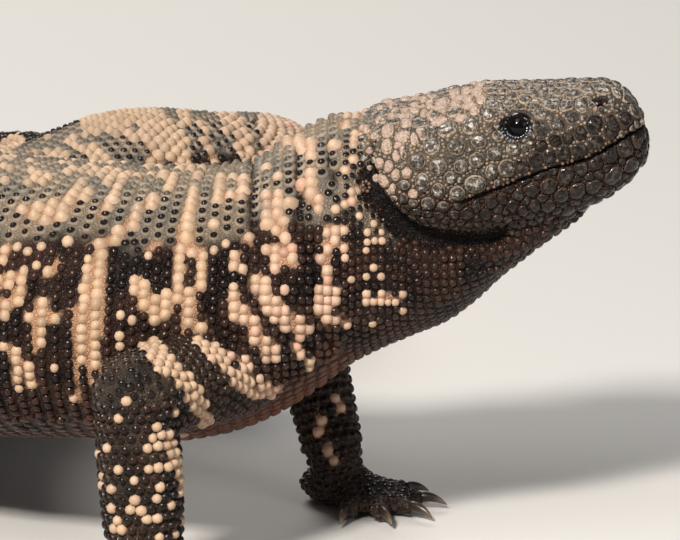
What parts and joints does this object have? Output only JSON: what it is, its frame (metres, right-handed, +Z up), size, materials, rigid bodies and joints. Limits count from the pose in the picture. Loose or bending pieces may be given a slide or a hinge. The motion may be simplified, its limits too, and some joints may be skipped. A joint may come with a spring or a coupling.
{
  "type": "gila monster",
  "caption": "Life-size gila monster standing with its head raised on its forelegs, banded and beaded, its body bent in a U and its thick tail on the floor behind.",
  "frame": {"origin": "middle of the animal's outline seen from above, on the floor it stands on", "axes": "+Z up, the head points to +X, the animal's left side at the shoulders faces +Y"},
  "size_m": [0.1968, 0.357, 0.1017],
  "materials": {
    "skin": "dry beaded reptile skin, dark brown-black with cream and peach markings, satin with small glossy bead tops",
    "eye": "wet glossy black eye",
    "claw": "dark brown horn, satin"
  },
  "bodies": {
    "root": {"head": "skin", "lower_jaw": "skin", "neck": "skin", "trunk_shoulder": "skin", "trunk_chest": "skin", "trunk_belly": "skin", "trunk_hip": "skin", "tail_base": "skin", "tail_middle": "skin", "tail_end": "skin", "eye_left": "eye", "eye_right": "eye", "foreleg_right_upper": "skin", "foreleg_right_lower": "skin", "foreleg_right_foot": "skin", "foreleg_right_claw_1": "claw", "foreleg_right_claw_2": "claw", "foreleg_right_claw_3": "claw", "foreleg_right_claw_4": "claw", "foreleg_right_claw_5": "claw", "foreleg_left_upper": "skin", "foreleg_left_lower": "skin", "foreleg_left_foot": "skin", "foreleg_left_claw_1": "claw", "foreleg_left_claw_2": "claw", "foreleg_left_claw_3": "claw", "foreleg_left_claw_4": "claw", "foreleg_left_claw_5": "claw", "hindleg_left_upper": "skin", "hindleg_left_lower": "skin", "hindleg_left_foot": "skin", "hindleg_left_claw_1": "claw", "hindleg_left_claw_2": "claw", "hindleg_left_claw_3": "claw", "hindleg_left_claw_4": "claw", "hindleg_left_claw_5": "claw", "hindleg_right_upper": "skin", "hindleg_right_lower": "skin", "hindleg_right_foot": "skin", "hindleg_right_claw_1": "claw", "hindleg_right_claw_2": "claw", "hindleg_right_claw_3": "claw", "hindleg_right_claw_4": "claw", "hindleg_right_claw_5": "claw"}
  },
  "joints": []
}
